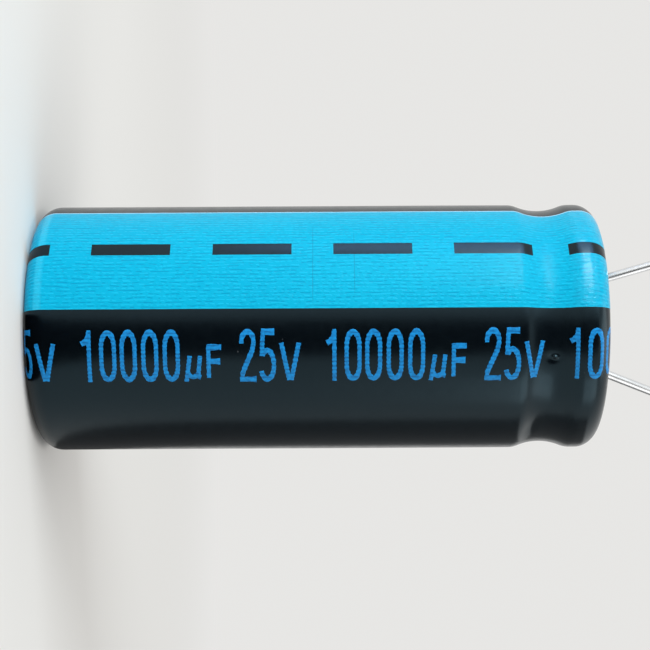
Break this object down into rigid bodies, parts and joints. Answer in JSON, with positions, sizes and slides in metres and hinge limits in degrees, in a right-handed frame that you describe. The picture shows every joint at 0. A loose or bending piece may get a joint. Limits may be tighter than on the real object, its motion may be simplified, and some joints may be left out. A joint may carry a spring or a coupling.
{
  "type": "radial aluminium electrolytic capacitor",
  "caption": "Radial aluminium electrolytic capacitor: beaded can in a shrunk sleeve with a polarity stripe, vented closed end, rubber bung and splayed tinned wire leads.",
  "frame": {"origin": "centre of the closed end, in the plane of the sleeve's folded ring that the part stands on", "axes": "+Z along the can from the closed end to the leads, X through both leads with the negative lead on the -X side"},
  "size_m": [0.0281, 0.0224, 0.0748],
  "materials": {
    "sleeve_pvc": "glossy shrunk PVC",
    "stripe_ink": "glossy ink",
    "can_aluminium": "satin, as drawn",
    "bung_rubber": "matt",
    "tab_aluminium": "satin",
    "tinned_wire": "bright tin plate",
    "roll_paper": "soaked paper edges",
    "roll_tape": "plain tape"
  },
  "bodies": {
    "root": {"sleeve": "sleeve_pvc", "polarity_stripe": "stripe_ink", "can": "can_aluminium", "rubber_bung": "bung_rubber", "positive_tab": "tab_aluminium", "negative_tab": "tab_aluminium", "positive_wire": "tinned_wire", "negative_wire": "tinned_wire", "wound_element": "roll_paper", "winding_tape": "roll_tape"}
  },
  "joints": []
}
